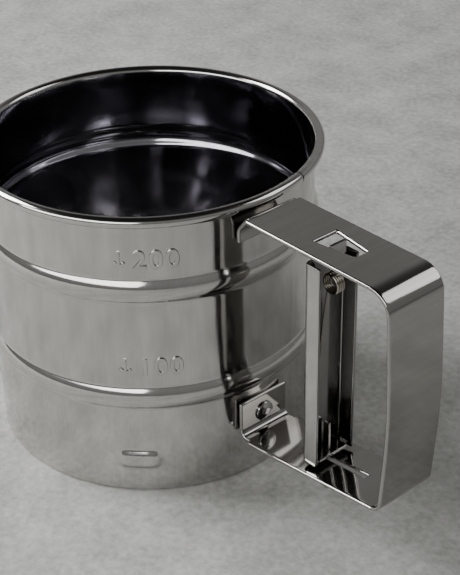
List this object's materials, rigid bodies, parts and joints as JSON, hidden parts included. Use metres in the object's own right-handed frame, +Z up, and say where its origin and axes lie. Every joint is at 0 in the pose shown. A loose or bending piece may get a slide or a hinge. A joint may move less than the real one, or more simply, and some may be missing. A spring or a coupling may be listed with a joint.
{
  "type": "flour sifter",
  "caption": "One-hand flour sifter: beaded sheet steel cup with a screen in its base, strap handle and a squeeze trigger that swings a stirrer.",
  "frame": {"origin": "centre of the cup's base, on the surface it stands on", "axes": "+Z up along the cup's axis, +X along the handle"},
  "size_m": [0.1615, 0.105, 0.0933],
  "materials": {
    "cup_steel": "satin stainless, faint upright brushing",
    "strap_steel": "bright stainless strip",
    "trigger_steel": "satin stainless",
    "stamped_steel": "mill finish stainless",
    "rivet_steel": "bright headed steel",
    "band_steel": "crimped stainless",
    "screen_wire": "woven stainless wire",
    "spring_wire": "bright drawn wire"
  },
  "bodies": {
    "frame": {"cup_body": "cup_steel", "handle_strap": "strap_steel", "handle_rivet": "rivet_steel", "rivet_washer": "rivet_steel", "screen_band": "band_steel", "screen_mesh": "screen_wire", "bridge": "stamped_steel", "axle_rivet": "rivet_steel", "axle_washer": "rivet_steel", "return_spring": "spring_wire"},
    "stirrer": {"hub_bush": "rivet_steel", "crank_arm": "stamped_steel", "stirrer_star": "stamped_steel"},
    "link": {"link_bar": "stamped_steel", "crank_pin": "rivet_steel"},
    "trigger": {"trigger_lever": "trigger_steel"}
  },
  "joints": [
    {"name": "trigger_squeeze", "type": "hinge", "parent": "frame", "child": "trigger", "pos_m": [0.0795, 0, 0.0896], "axis": [0, -1, 0], "range_deg": [0, 12], "stiffness_Nm_per_rad": 1, "springref_deg": -17.19, "deforming": ["return_spring"]},
    {"name": "link_slide", "type": "slide", "parent": "frame", "child": "link", "axis": [1, 0, 0], "range_m": [0, 0.0146]},
    {"name": "stirrer_swing", "type": "hinge", "parent": "frame", "child": "stirrer", "pos_m": [0, 0, 0.0058], "axis": [0, 0, -1], "range_deg": [0, 55]}
  ],
  "couplings": [
    {"joint": "link_slide", "follows": "trigger_squeeze", "m_per_rad": 0.0684},
    {"joint": "stirrer_swing", "follows": "trigger_squeeze", "ratio": 4.51}
  ]
}
